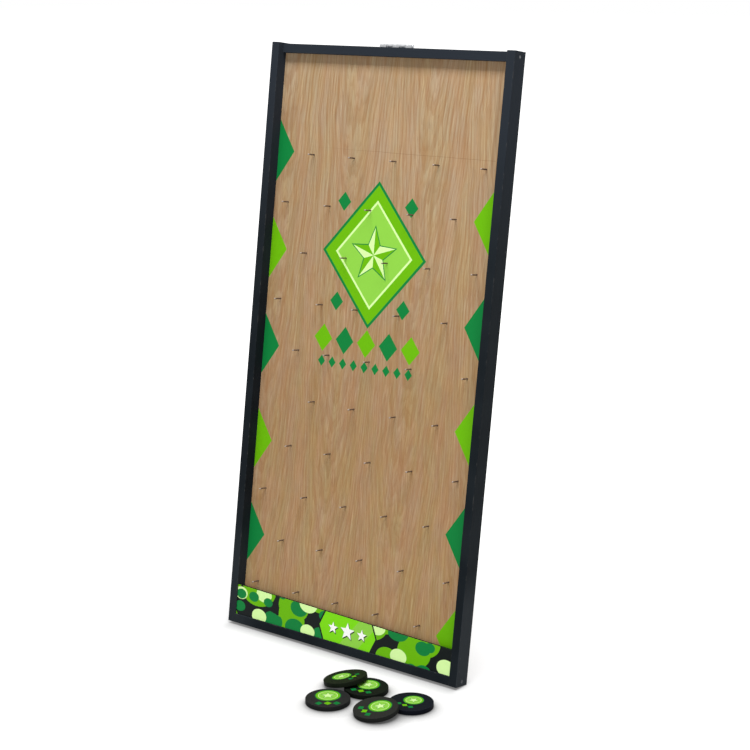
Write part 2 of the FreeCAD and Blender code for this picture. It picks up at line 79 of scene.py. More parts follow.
# %% [markdown]
# ## Shader maths as Python expressions
# A material is a web of small nodes. Writing it with plain arithmetic keeps it
# readable: a Wire is one output socket, and adding, multiplying or comparing wires
# adds the Math nodes. A Bench is one node tree, and its node method makes any other
# node: settings first, then the values or wires of its sockets.


# %% A wire and a bench
class Wire:
    """One output socket of a node, with Python's arithmetic."""

    def __init__(self, bench, socket):
        self.bench = bench
        self.socket = socket

    def maths(self, operation, *others, clamp=False):
        values = dict(enumerate((self,) + others))
        settings = {"operation": operation, "use_clamp": clamp}
        return self.bench.node("ShaderNodeMath", settings, values)

    def flipped(self, operation, other):
        settings = {"operation": operation}
        return self.bench.node("ShaderNodeMath", settings, {0: other, 1: self})

    def __add__(self, other):
        return self.maths("ADD", other)

    def __sub__(self, other):
        return self.maths("SUBTRACT", other)

    def __mul__(self, other):
        return self.maths("MULTIPLY", other)

    def __truediv__(self, other):
        return self.maths("DIVIDE", other)

    def __mod__(self, other):
        return self.maths("FLOORED_MODULO", other)

    def __pow__(self, other):
        return self.maths("POWER", other)

    def __abs__(self):
        return self.maths("ABSOLUTE")

    def __neg__(self):
        return self.maths("MULTIPLY", -1)

    def __radd__(self, other):
        return self.flipped("ADD", other)

    def __rsub__(self, other):
        return self.flipped("SUBTRACT", other)

    def __rmul__(self, other):
        return self.flipped("MULTIPLY", other)

    def __lt__(self, other):
        return self.maths("LESS_THAN", other)

    def __gt__(self, other):
        return self.maths("GREATER_THAN", other)

    def floor(self):
        return self.maths("FLOOR")

    def largest(self, other):
        return self.maths("MAXIMUM", other)

    def within(self, low, high):
        """Rises smoothly from 0 at low to 1 at high."""
        settings = {"interpolation_type": "SMOOTHSTEP"}
        values = {"Value": self, "From Min": low, "From Max": high}
        return self.bench.node("ShaderNodeMapRange", settings, values)


class Bench:
    """One node tree, for a material or for geometry."""

    def __init__(self, tree):
        self.tree = tree

    def node(self, kind, settings=None, values=None, output=0):
        made = self.tree.nodes.new(kind)
        for key, value in (settings or {}).items():
            setattr(made, key, value)
        for key, value in (values or {}).items():
            if isinstance(value, Wire):
                self.tree.links.new(value.socket, made.inputs[key])
            else:
                made.inputs[key].default_value = value
        return Wire(self, made.outputs[output]) if made.outputs else made


# %% [markdown]
# ## Colours and finishes
# Colours are easiest to choose as the eye sees them, from 0 to 255, but the shader
# works in linear light, so each is converted once. A Finish is a material with a
# Principled shader at its end, and mixing one colour over another through a mask is
# how the printed artwork is laid on.


# %% A finish and its helpers
def seen(red, green, blue):
    """A colour as the eye sees it, as linear light."""
    linear = []
    for part in (red, green, blue):
        share = part / 255
        linear.append(share / 12.92 if share < 0.04045 else ((share + 0.055) / 1.055) ** 2.4)
    return (*linear, 1.0)


class Finish(Bench):
    """A material with a Principled shader at its end."""

    def __init__(self, name):
        self.material = bpy.data.materials.new(name)
        self.material.use_nodes = True
        super().__init__(self.material.node_tree)
        self.tree.nodes.clear()

    def place(self, turn):
        """Object coordinates, turned about X so that the piece stands upright."""
        here = self.node("ShaderNodeTexCoord", output=3)
        return self.node("ShaderNodeMapping", {}, {0: here, 2: (turn, 0, 0)})

    def split(self, vector):
        made = self.node("ShaderNodeSeparateXYZ", {}, {0: vector})
        return [Wire(self, socket) for socket in made.socket.node.outputs]

    def join(self, x, y, z):
        return self.node("ShaderNodeCombineXYZ", {}, {0: x, 1: y, 2: z})

    def stretched(self, vector, factors):
        """A place counted in finer steps along some axes, one factor for each."""
        return self.node("ShaderNodeVectorMath", {"operation": "MULTIPLY"},
                         {0: vector, 1: tuple(factors)})

    def noise(self, vector, scale, detail=2.0, rough=0.5):
        values = {"Vector": vector, "Scale": scale, "Detail": detail, "Roughness": rough}
        return self.node("ShaderNodeTexNoise", {}, values)

    def over(self, mask, below, above):
        """The colour above where the mask is 1, and below where it is 0."""
        values = {0: mask, 6: below, 7: above}
        return self.node("ShaderNodeMix", {"data_type": "RGBA"}, values, 2)

    def tinted(self, mask, colour, tint):
        """The colour, multiplied by a tint where the mask is 1."""
        settings = {"data_type": "RGBA", "blend_type": "MULTIPLY"}
        return self.node("ShaderNodeMix", settings, {0: mask, 6: colour, 7: (*tint, 1.0)}, 2)

    def done(self, colour, roughness, metallic=0.0, height=None, relief=0.0, **plain):
        values = {"Base Color": colour, "Roughness": roughness, "Metallic": metallic}
        values.update({key.replace("_", " "): value for key, value in plain.items()})
        if height is not None:
            lift = {"Height": height, "Distance": relief, "Strength": 1.0}
            values["Normal"] = self.node("ShaderNodeBump", {}, lift)
        shader = self.node("ShaderNodeBsdfPrincipled", {}, values)
        self.node("ShaderNodeOutputMaterial", {}, {0: shader})
        return self.material


def finish_node(name, material):
    """Gives a CAD node its material."""
    slots = nodes[name].data.materials
    slots.clear()
    slots.append(material)


# %% [markdown]
# ## Shapes for the artwork
# Printed shapes are drawn as distances: each helper gives how far a point is from the
# shape's edge, negative inside, and ink turns that distance into a crisp mask. The
# lozenge and the five-pointed star are the board's plain motifs.


# %% Ink, lozenge and star
def ink(distance, blur=0.00025):
    """1 inside the edge and 0 outside it, with a hair of softness."""
    return distance.maths("MULTIPLY_ADD", -0.5 / blur, 0.5, clamp=True)


def lozenge(across, up, half_width, half_height):
    slope = 1 / math.hypot(1 / half_width, 1 / half_height)
    return (abs(across) / half_width + abs(up) / half_height - 1) * slope


def circle(across, up, radius):
    return (across * across + up * up) ** 0.5 - radius


def point_side(across, up):
    """Which side of its point's middle line a place is on, below or above 0."""
    step = 2 * math.pi / 5
    angle = across.maths("ARCTAN2", up)
    return (angle + step / 2) % step - step / 2


def star(across, up, outer, inner):
    """Five points, one of them straight up: the angle is folded into half a point."""
    step = 2 * math.pi / 5
    folded = abs(point_side(across, up))
    reach = (across * across + up * up) ** 0.5
    along = reach * folded.maths("COSINE")
    aside = reach * folded.maths("SINE")
    notch_along = inner * math.cos(step / 2)
    notch_aside = inner * math.sin(step / 2)
    edge = math.hypot(notch_along - outer, notch_aside)
    cross = (along - outer) * notch_aside - aside * (notch_along - outer)
    return cross * (1 / edge)


LIME = seen(102, 176, 8)
LEAF = seen(12, 121, 56)
MIST = seen(210, 245, 163)
SPRING = seen(138, 202, 70)
COAL = seen(11, 17, 17)

# %% [markdown]
# ## Black painted timber
# The frame is planed softwood under a satin black paint with a trace of blue. Close
# to, such paint shows the grain as faint ridges along the rail, small differences in
# gloss where the roller lapped, and a thin worn line on the corners that hands and
# floors touch. The corners are found from the rail's own box, so the wear sits on
# them whatever the light does. The paint is made greyer towards the top, which is a
# painted sheen from the light above, and at the foot of the right rail's outer face
# and of the left end, which is a painted reflection of the floor.


# %% The paint
PAINT_BLACK = seen(21, 26, 30)
PAINT_LAPPED = seen(29, 34, 38)
PAINT_TOP_SHEEN = seen(41, 46, 53)
PAINT_FOOT_REFLECTION = seen(49, 54, 58)
PAINT_WORN = seen(84, 82, 79)
TOP_RISE = (0.75, 1.22)
FOOT_DROP = (0.24, 0.15)
RIGHT_FACE = (0.3030, 0.3045)
LEFT_END = (-0.22, -0.29)
ACROSS_GRAIN = 160.0
ALONG_GRAIN = 5.0


def corner_distance(sides, low, high, grain_axis):
    """How far a place is from the nearest long edge of a rail, given the rail's box."""
    nearness = []
    for axis, side in enumerate(sides):
        if axis != grain_axis:
            middle = (low[axis] + high[axis]) / 2
            half = (high[axis] - low[axis]) / 2
            nearness.append(half - abs(side - middle))
    return nearness[0].largest(nearness[1])


def painted_timber(name, turn, low, high, grain_axis):
    finish = Finish(name)
    place = finish.place(turn)
    sides = finish.split(place)
    stretch = [ACROSS_GRAIN] * 3
    stretch[grain_axis] = ALONG_GRAIN
    grain = finish.noise(finish.stretched(place, stretch), 1.6, 5.0, 0.65)
    lap = finish.noise(place, 9.0, 2.0)
    speckle = finish.noise(place, 420.0, 2.0)
    chips = finish.noise(place, 70.0, 5.0, 0.7)
    near_corner = corner_distance(sides, low, high, grain_axis).within(0.0022, 0.0002)
    worn = near_corner * chips.within(0.5, 0.66)
    coat = finish.over(lap.within(0.3, 0.7), PAINT_BLACK, PAINT_LAPPED)
    # Painted sheen: the paint is made paler towards the top, where the light falls on it.
    coat = finish.over(sides[2].within(*TOP_RISE) * 0.9, coat, PAINT_TOP_SHEEN)
    # Painted reflection of the floor: the right rail's outer face and the left end are made
    # paler at the foot.
    foot_reflection = sides[0].within(*RIGHT_FACE) + sides[0].within(*LEFT_END) * 0.5
    coat = finish.over(foot_reflection * sides[2].within(*FOOT_DROP) * 0.8, coat, PAINT_FOOT_REFLECTION)
    coat = finish.over(worn * 0.35, coat, PAINT_WORN)
    roughness = 0.34 + lap * 0.14 + grain * 0.10 + speckle * 0.06
    height = grain * 0.8 + speckle * 0.2 - worn * 0.3
    return finish.done(coat, roughness, height=height, relief=0.00035,
                       Specular_IOR_Level=0.025)


# %% Paint the rails and the leg
SIDEWAYS, UPWARDS = 0, 2
for name, grain_axis in (("left_side_rail", UPWARDS), ("right_side_rail", UPWARDS),
                         ("top_rail", SIDEWAYS), ("bottom_rail", SIDEWAYS)):
    low, high = upright_box(name)
    finish_node(name, painted_timber(name + "_paint", LEAN, low, high, grain_axis))

leg_points = points_of("rear_leg") @ np.array(Matrix.Rotation(-LEG_LEAN, 3, "X")).T
leg_low, leg_high = leg_points.min(0), leg_points.max(0)
finish_node("rear_leg", painted_timber("leg_paint", -LEG_LEAN, leg_low, leg_high, UPWARDS))
print("painted four rails and the leg, which is", (leg_high - leg_low).round(4), "in size")

# %% [markdown]
# ## The oak panel
# The sheet behind the pegs is plywood with an oak face. Rotary and sawn veneers show
# long fine lines where the rings are cut, arches where the cut runs flat along a
# ring, and short dark pores everywhere. A photograph of oak would do for one board,
# but noise costs nothing and never repeats. The rings here are the level lines of a
# parabola about each leaf's heart, bent by noise, so they close in arches at its
# middle and run straight at its sides. The leaves lie side by side across the sheet.


# %% Oak rings
LEAF_WIDTH = 0.187
LEAF_SHIFT = 0.083
RINGS_ACROSS = 1000.0
RINGS_UP = 11.0


def layer(finish, across, number, up, detail=2.0, rough=0.5):
    """Noise on places that are counted in patches. Each layer's number gives its own."""
    return finish.noise(finish.join(across, number, up), 1.0, detail, rough)


def oak_rings(finish, across, up):
    """The count of rings at each place, with the two noises that bend them."""
    bend = layer(finish, across * 6.0, 0.0, up * 1.6, 3.0) - 0.5
    shifted = across + LEAF_SHIFT + bend * 0.035
    leaf = (shifted / LEAF_WIDTH + 0.5).floor()
    inside = shifted - leaf * LEAF_WIDTH
    waver = layer(finish, across * 24.0, 3.0, up * 2.6, 3.0, 0.6) - 0.5
    rounds = inside * inside * RINGS_ACROSS - up * RINGS_UP + leaf * 0.37 + waver * 3.0
    return rounds, bend, waver


# %% [markdown]
# ## The oak's colour
# Each kind of line goes over the wood with its own colour and share: the rings' late
# wood, broad streaks, fine lines, ticks and pores. The lines are stronger towards the
# top. The wood's own colour is paler towards the top and a little paler at the foot
# than in the middle: that is painted light, for how the light falls on the sheet.
# Veneer is never of one hue either, so long patches drift between yellow and pink,
# most in the lower part, and short ones between rust and straw. A fine butt joint
# crosses the top from left of the middle.

# %% Oak colours
OAK_FOOT_PAINTED_LIGHT = seen(173, 144, 107)
OAK_MIDDLE = seen(165, 137, 102)
OAK_TOP_PAINTED_LIGHT = seen(177, 154, 123)
LATE_WOOD = seen(143, 103, 66)
NESTED_RING = seen(138, 98, 62)
STREAK = seen(146, 107, 69)
DARK_LINE = seen(142, 102, 64)
PALE_LINE = seen(202, 175, 139)
TICK = seen(120, 85, 52)
PORE = seen(110, 79, 52)
JOINT = seen(112, 78, 50)
YELLOW_TINT = (0.980, 1.012, 0.93)
PINK_TINT = (1.018, 0.978, 1.04)
RUST_TINT = (1.020, 0.985, 0.93)
STRAW_TINT = (0.980, 1.008, 1.04)
JOINT_HEIGHT = 1.045
JOINT_HALF = 0.0004
JOINT_FADE = (-0.24, 0.05)
JOINT_END = 0.267


def drifted(finish, wood, share, weight, one, other):
    """Tinted one way where the noise is high, and the other way where it is low."""
    share = share.within(0.36, 0.64)
    wood = finish.tinted(share * weight, wood, one)
    return finish.tinted((1 - share) * weight, wood, other)


# %% Oak grain
def oak(finish, place):
    """Colour and relief of the oak face, from upright board coordinates."""
    across, _, up = finish.split(place)
    rounds, bend, waver = oak_rings(finish, across, up)
    ring = rounds % 1.0
    late = ring.within(0.25, 0.85) * ring.within(1.0, 0.88)
    nested = (rounds * 3.0) % 1.0
    sway = layer(finish, across * 9.0, 6.0, up * 6.0) - 0.5
    bent = across + bend * 0.010 + sway * 0.026
    streak = layer(finish, bent * 70.0, 1.0, up * 2.6, 3.0, 0.62)
    run = up * 5.0 - (0.8 - up).largest(0.0) * 9.0
    fine = layer(finish, bent * 250.0, 2.0, run, 4.0, 0.7)
    tick = layer(finish, bent * 430.0, 9.0, up * 30.0).within(0.52, 0.68)
    pore = layer(finish, across * 1500.0, 5.0, up * 60.0).within(0.62, 0.72)

    near_top = up.within(0.35, 1.15)
    # Painted light: the wood is made paler at the foot and towards the top, for how the light
    # falls on the sheet.
    lower = finish.over(up.within(0.10, 0.50), OAK_FOOT_PAINTED_LIGHT, OAK_MIDDLE)
    wood = finish.over(near_top, lower, OAK_TOP_PAINTED_LIGHT)
    wood = finish.over(late * (near_top * 0.04 + 0.31), wood, LATE_WOOD)
    wood = finish.over(nested.within(0.5, 0.9) * 0.20, wood, NESTED_RING)
    wood = finish.over(streak.within(0.42, 0.62) * (near_top * 0.10 + 0.26), wood, STREAK)
    wood = finish.over(fine.within(0.45, 0.66) * (near_top * 0.12 + 0.34), wood, DARK_LINE)
    wood = finish.over(fine.within(0.48, 0.30) * 0.30, wood, PALE_LINE)
    wood = finish.over(tick * 0.20, wood, TICK)
    wood = finish.over(pore * 0.30, wood, PORE)

    long_patch = layer(finish, bent * 27.0, 11.0, up * 4.4, 3.0, 0.6)
    short_patch = layer(finish, bent * 40.0, 4.0, up * 13.0, 3.0, 0.6)
    wood = drifted(finish, wood, long_patch, 1 - near_top * 0.5, YELLOW_TINT, PINK_TINT)
    wood = drifted(finish, wood, short_patch, 1.0, RUST_TINT, STRAW_TINT)
    joint = ink(abs(up - JOINT_HEIGHT - waver * 0.003) - JOINT_HALF, 0.0003)
    joint = joint * across.within(*JOINT_FADE) * (across < JOINT_END)
    wood = finish.over(joint * 0.45, wood, JOINT)
    relief = fine * 0.5 - pore * 0.6 - late * 0.15 - joint * 0.5
    return wood, relief


# %% [markdown]
# ## What is printed on the panel
# Down each side runs a row of half lozenges in two greens, the left ones level with
# the odd peg rows and the right ones with the even rows. In the middle is a plain
# medallion: nested lozenges round a star, with two rows of small lozenges below.
# Flat opaque ink hides the grain but keeps a little of its relief.


# %% The panel's motifs
PRINT_SHIFT = 0.010
MEDALLION_HEIGHT = 0.834
MEDALLION_LAYERS = (
    (0.133, 0.152, LEAF),
    (0.1255, 0.1435, LIME),
    (0.0985, 0.1125, MIST),
    (0.0925, 0.1057, SPRING),
)
# Height, pitch, count, half width, half height, and the two greens in turn.
LOZENGE_ROWS = (
    (0.650, 0.0566, 5, 0.0235, 0.0290, LIME, LEAF),
    (0.601, 0.0283, 9, 0.0095, 0.0120, LEAF, LEAF),
)


def medallion(finish, across, up, colour):
    x = across + PRINT_SHIFT
    z = up - MEDALLION_HEIGHT
    for half_width, half_height, green in MEDALLION_LAYERS:
        colour = finish.over(ink(lozenge(x, z, half_width, half_height)), colour, green)
    colour = finish.over(ink(star(x, z, 0.062, 0.027)), colour, LEAF)
    halves = finish.over(point_side(x, z) > 0, MIST, LIME)
    colour = finish.over(ink(star(x, z, 0.057, 0.0247)), colour, halves)
    for aside in (-0.086, 0.086):
        for height in (-0.104, 0.104):
            spark = lozenge(x - aside, z - height, 0.017, 0.020)
            colour = finish.over(ink(spark), colour, LEAF)
    return colour


def lozenge_rows(finish, across, up, colour):
    x = across + PRINT_SHIFT
    for height, pitch, count, half_width, half_height, first, second in LOZENGE_ROWS:
        index = (x / pitch + 0.5).floor()
        shape = lozenge(x - index * pitch, up - height, half_width, half_height)
        real = abs(index) < count / 2
        green = finish.over(index % 2, first, second)
        colour = finish.over(ink(shape) * real, colour, green)
    return colour


# %% The printed panel
PRINT_DEPTH = 0.0006
# Edge, apex, half height, lowest middle, pitch, count, and the two greens in turn.
SIDE_ROWS = (
    (panel_low[0], -0.242, 0.065, 0.2015, 0.2075, 5, LEAF, LIME),
    (panel_high[0], 0.229, 0.086, 0.0855, 0.20960, 5, LIME, LEAF),
)


def side_row(across, up, edge, apex, half_height, lowest, pitch, count):
    """Half lozenges along one rail: a mask, and 1 where the second green goes."""
    index = ((up - lowest) / pitch + 0.5).floor()
    local = up - lowest - index * pitch
    inward = (across - edge) * (1 if apex > edge else -1)
    shape = ink(lozenge(inward, local, abs(apex - edge), half_height))
    real = (index > -0.5) * (index < count - 0.5)
    return shape * real, index % 2


def printed_oak():
    finish = Finish("printed_oak")
    place = finish.place(LEAN)
    across, depth, up = finish.split(place)
    wood, relief = oak(finish, place)
    colour = wood
    for *row, first, second in SIDE_ROWS:
        mask, odd = side_row(across, up, *row)
        colour = finish.over(mask, colour, finish.over(odd, first, second))
    colour = medallion(finish, across, up, colour)
    colour = lozenge_rows(finish, across, up, colour)
    front = depth < panel_low[1] + PRINT_DEPTH
    colour = finish.over(front, wood, colour)
    return finish.done(colour, 0.5 + relief * 0.1, height=relief, relief=0.00012,
                       Specular_IOR_Level=0.10)


finish_node("back_panel", printed_oak())
print("panel printed,", len(MEDALLION_LAYERS), "layers in its medallion")

# %% [markdown]
# ## The catch panel
# The thin panel across the foot has a lively print: green and pale pebbles on black,
# thrown at random by Voronoi cells, and a bright plate in the middle with three white
# stars that mark the winning place. Its edges are black.


# %% Pebbles
# Size, shift, share of the cell, chance of a pebble, and its green.
PEBBLES = (
    (0.082, 3.30, 0.44, 0.80, LIME),
    (0.066, 5.75, 0.42, 0.70, LIME),
    (0.052, 7.90, 0.36, 0.55, LEAF),
    (0.047, 1.62, 0.36, 0.55, MIST),
    (0.030, 9.13, 0.34, 0.25, LEAF),
)


def pebbles(finish, across, up, size, shift, share, chance):
    """Ovals at random places: share is their size in their cells."""
    cell = finish.join(across / (size * 1.3) + shift, up / size + shift, 0.0)
    settings = {"voronoi_dimensions": "2D", "feature": "F1"}
    values = {"Vector": cell, "Scale": 1.0, "Randomness": 0.45}
    near = finish.node("ShaderNodeTexVoronoi", settings, values)
    colour = Wire(finish, near.socket.node.outputs["Color"])
    pick, grow, _ = finish.split(colour)
    return ink((near - share * (0.75 + grow * 0.4)) * size) * (pick < chance)


# %% The plate with its stars
PLATE_GREEN = seen(121, 212, 20)
STAR_WHITE = seen(246, 248, 244)
PLATE_ACROSS = 0.021
PLATE_HALF = 0.074
PLATE_BORDER = 0.004
PLATE_STARS = ((-0.038, 0.013), (0.0, 0.019), (0.038, 0.013))


def winning_plate(finish, across, up, colour):
    x = across - PLATE_ACROSS
    z = up - ((catch_low[2] + catch_high[2]) / 2 - 0.003)
    plate = abs(x) + abs(z) * 0.45 - PLATE_HALF
    colour = finish.over(ink(plate - PLATE_BORDER), colour, COAL)
    colour = finish.over(ink(plate), colour, PLATE_GREEN)
    sheen = ink(abs(x - z * 0.8 - 0.030) - 0.024) * ink(plate)
    colour = finish.over(sheen, colour, SPRING)
    for aside, size in PLATE_STARS:
        shade = star(x - aside - 0.0014, z + 0.0016, size + 0.0012, size * 0.46)
        colour = finish.over(ink(shade), colour, COAL)
        white = star(x - aside, z, size, size * 0.43)
        colour = finish.over(ink(white), colour, STAR_WHITE)
    return colour


# %% The catch panel's print
def catch_print():
    finish = Finish("catch_print")
    place = finish.place(LEAN)
    across, depth, up = finish.split(place)
    colour = COAL
    for *kind, green in PEBBLES:
        colour = finish.over(pebbles(finish, across, up, *kind), colour, green)
    colour = winning_plate(finish, across, up, colour)
    front = (depth < catch_low[1] + PRINT_DEPTH) * (up < catch_high[2])
    colour = finish.over(front, COAL, colour)
    fleck = finish.noise(place, 500.0, 2.0)
    return finish.done(colour, 0.36 + fleck * 0.1, height=fleck, relief=0.00004,
                       Specular_IOR_Level=0.12)


finish_node("catch_panel", catch_print())
print("catch panel printed with", len(PEBBLES), "kinds of pebbles")

# %% [markdown]
# ## Steel
# The hinge and the stay are zinc plated sheet: bright, a little cloudy, with fine
# lines from rolling. The pegs are plain nails whose shafts have darkened. Their tips
# are made paler, which is a painted highlight where the light catches them.


# %% Plated sheet and peg steel
ZINC_DULL = seen(156, 158, 161)
ZINC_BRIGHT = seen(211, 212, 214)
ROLLING_LINES = (60.0, 900.0, 2600.0)
NAIL_DARK = seen(79, 63, 52)
NAIL_WORN = seen(112, 95, 82)
NAIL_TIP_HIGHLIGHT = seen(156, 144, 136)
TIP_HIGHLIGHT_FADE = (0.0042, 0.0022)
peg_front = upright_box("peg_row_1")[0][1]


def plated_steel(name, turn):
    finish = Finish(name)
    place = finish.place(turn)
    cloud = finish.noise(place, 140.0, 4.0, 0.6)
    lines = finish.noise(finish.stretched(place, ROLLING_LINES), 1.0, 2.0)
    colour = finish.over(cloud, ZINC_DULL, ZINC_BRIGHT)
    roughness = 0.26 + cloud * 0.16 + lines * 0.08
    return finish.done(colour, roughness, 1.0, height=lines, relief=0.00003)


def peg_steel():
    finish = Finish("peg_steel")
    place = finish.place(LEAN)
    depth = finish.split(place)[1]
    start, end = TIP_HIGHLIGHT_FADE
    # Painted highlight: the last few millimetres of each peg, towards the player, are made
    # paler.
    tip = depth.within(peg_front + start, peg_front + end)
    mottle = finish.noise(place, 600.0, 3.0)
    colour = finish.over(tip, finish.over(mottle, NAIL_DARK, NAIL_WORN), NAIL_TIP_HIGHLIGHT)
    return finish.done(colour, 0.45 - tip * 0.06 + mottle * 0.1, 0.3 - tip * 0.15,
                       Specular_IOR_Level=0.2)


board_steel = plated_steel("board_steel", LEAN)
leg_steel = plated_steel("leg_steel", -LEG_LEAN)
for name in ("hinge_board_leaf", "hinge_pin", "stay_bracket", "stay_pin"):
    finish_node(name, board_steel)
for name in ("hinge_leg_leaf", "stay_spacer", "stay_pivot_screw", "stay_strap"):
    finish_node(name, leg_steel)
print("steel on the hinge and the stay")

# %% [markdown]
# ## Where the fixings are
# The pegs and screws repeat, so each kind is modelled once and set on points. The
# points come from the model itself: a copy of a node is welded, taken apart into its
# solids, and each solid's longest direction gives its aim. The wider end of a screw
# is its head. The corners are gone through in their own order and not in a set's,
# because a set's order changes from run to run, and the screws would turn with it.


# %% Find the solids of a node
WELD = 1e-6
SAME_HEIGHT = 1e-5


def solids_of(name):
    """The corners of each separate solid in a node, in the same order on every run."""
    mesh = bmesh.new()
    mesh.from_mesh(nodes[name].data)
    bmesh.ops.remove_doubles(mesh, verts=mesh.verts, dist=WELD)
    left = set(mesh.verts)
    found = []
    for first in mesh.verts:
        if first not in left:
            continue
        left.remove(first)
        batch = [first]
        for vertex in batch:
            for edge in vertex.link_edges:
                other = edge.other_vert(vertex)
                if other in left:
                    left.remove(other)
                    batch.append(other)
        found.append(np.array([vertex.co for vertex in batch]))
    mesh.free()
    return found


def main_axes(corners):
    """Middle of a solid and its directions, the longest first."""
    middle = (corners.min(0) + corners.max(0)) / 2
    spread = corners - corners.mean(0)
    directions = np.linalg.svd(spread, full_matrices=False)[2]
    return middle, directions


def head_and_aim(corners):
    """The middle of a fixing's head face, and the way that the head looks."""
    along = main_axes(corners)[1][0]
    middle = corners.mean(0)
    distance = (corners - middle) @ along
    aside = np.linalg.norm(corners - middle - np.outer(distance, along), axis=1)
    widest = aside > aside.max() * 0.9
    if distance[widest].mean() < 0:
        along = -along
        distance = -distance
    face = corners[distance > distance.max() - SAME_HEIGHT]
    return face.mean(0), along


# %% [markdown]
# ## Turned pieces set on points
# Pegs, screws and discs are all turned: a row of rings, each with a radius and a
# height. Geometry Nodes can turn such a body by sweeping a circle along a short curve,
# scaled at each of its points. The tree makes the body from named sizes and sets a
# copy on each point, turned so that its Z axis follows the point's aim and its X axis
# the point's side. Then it makes the copies real.


# %% A tree for turned fixings
def new_tree(name, sizes):
    """A geometry tree with one number input for each named size."""
    tree = bpy.data.node_groups.new(name, "GeometryNodeTree")
    sides = tree.interface
    sides.new_socket("Geometry", in_out="INPUT", socket_type="NodeSocketGeometry")
    for size, value in sizes.items():
        kind = "NodeSocketInt" if isinstance(value, int) else "NodeSocketFloat"
        sides.new_socket(size, in_out="INPUT", socket_type=kind)
    sides.new_socket("Geometry", in_out="OUTPUT", socket_type="NodeSocketGeometry")
    bench = Bench(tree)
    start = bench.node("NodeGroupInput").socket.node
    return bench, {socket.name: Wire(bench, socket) for socket in start.outputs if socket.name}


def by_turn(bench, values):
    """The first value for point 0, the second for point 1, and so on."""
    index = bench.node("GeometryNodeInputIndex")
    chosen = 0.0
    for turn, value in enumerate(values):
        chosen = (abs(index - turn) < 0.5) * value + chosen
    return chosen


def turned(bench, outline, sides):
    """A closed turned body through rings of (radius, height), from its foot up."""
    heights = by_turn(bench, [height for _, height in outline])
    middles = bench.node("ShaderNodeCombineXYZ", {}, {2: heights})
    radii = by_turn(bench, [radius for radius, _ in outline])
    rings = bench.node("GeometryNodePoints", {}, {"Count": len(outline), "Position": middles})
    spine = bench.node("GeometryNodePointsToCurves", {}, {0: rings})
    circle = bench.node("GeometryNodeCurvePrimitiveCircle", {},
                        {"Resolution": sides, "Radius": 1.0})
    values = {"Curve": spine, "Profile Curve": circle, "Scale": radii, "Fill Caps": True}
    return bench.node("GeometryNodeCurveToMesh", {}, values)


def direction(bench, name):
    return bench.node("GeometryNodeInputNamedAttribute", {"data_type": "FLOAT_VECTOR"},
                      {"Name": name})


def set_on_points(bench, pattern, points, material):
    turn = bench.node("FunctionNodeAxesToRotation",
                      {"primary_axis": "Z", "secondary_axis": "X"},
                      {0: direction(bench, "aim"), 1: direction(bench, "side")})
    copies = bench.node("GeometryNodeInstanceOnPoints", {},
                        {"Points": points, "Instance": pattern, "Rotation": turn})
    real = bench.node("GeometryNodeRealizeInstances", {}, {0: copies})
    dressed = bench.node("GeometryNodeSetMaterial", {}, {0: real, "Material": material})
    bench.node("NodeGroupOutput", {}, {0: dressed})


# %% [markdown]
# ## From points to a piece
# The points carry the aim and the side as attributes, and the tree works on them in a
# modifier. Its result is taken as a plain mesh, which is what an exported model needs,
# and the points are thrown away. The piece then takes the place of the plain CAD
# nodes, and rides on the body that they belong to.


# %% Turn points and a tree into a piece
def added(name, data):
    """A new object that shows the data, in the scene."""
    made = bpy.data.objects.new(name, data)
    bpy.context.scene.collection.objects.link(made)
    return made


def piece_from_points(name, places, bench, sizes, body, replaced, crease=35):
    """Each place is a point, an aim for the pattern's Z axis and a side for its X axis."""
    mesh = bpy.data.meshes.new(name + "_points")
    mesh.from_pydata([place[0] for place in places], [], [])
    for column, attribute in ((1, "aim"), (2, "side")):
        directions = np.array([place[column] for place in places], dtype=float)
        made = mesh.attributes.new(attribute, "FLOAT_VECTOR", "POINT")
        made.data.foreach_set("vector", directions.ravel())
    holder = added(name + "_points", mesh)
    modifier = holder.modifiers.new("fixings", "NODES")
    modifier.node_group = bench.tree
    for socket in bench.tree.interface.items_tree:
        if socket.in_out == "INPUT" and socket.name in sizes:
            modifier[socket.identifier] = sizes[socket.name]
    bpy.context.view_layer.update()
    graph = bpy.context.evaluated_depsgraph_get()
    plain = bpy.data.meshes.new_from_object(holder.evaluated_get(graph))
    bpy.data.objects.remove(holder)
    while plain.materials[0] is None:
        plain.materials.pop(index=0)
    plain.shade_smooth()
    plain.set_sharp_from_angle(angle=math.radians(crease))
    piece = added(name, plain)
    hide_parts(*replaced)
    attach(piece, body)
    print(name, len(places), "copies,", len(plain.polygons), "faces")


# %% [markdown]
# ## The pegs
# Each peg is a plain nail shank, set square in the panel, with a small chamfer at its
# tip. The tip looks at the player and is the pattern's highest ring, so the point is
# set there and the shank goes down from it into the panel. All are of one length.

# %% Set the pegs
PEG_RADIUS = 0.0015
PEG_TIP = 0.0005
PEG_SIDES = 20
peg_names = ["peg_row_%d" % row for row in range(1, 11)]
peg_places = []
player_way = np.array(leaning.to_3x3() @ Vector((0, -1, 0)))
for name in peg_names:
    for corners in solids_of(name):
        reach = (corners - corners.mean(0)) @ player_way
        peg_length = float(reach.max() - reach.min())
        peg_places.append((corners.mean(0) + player_way * reach.max(), player_way, (1, 0, 0)))

peg_sizes = {"Radius": PEG_RADIUS, "Length": peg_length, "Tip": PEG_TIP, "Sides": PEG_SIDES}
bench, size = new_tree("pegs", peg_sizes)
peg = turned(bench, [
    (size["Radius"], -size["Length"]),
    (size["Radius"], -size["Tip"]),
    (size["Radius"] - size["Tip"], 0.0),
], size["Sides"])
set_on_points(bench, peg, size["Geometry"], peg_steel())
piece_from_points("pegs", peg_places, bench, peg_sizes, "board", peg_names)

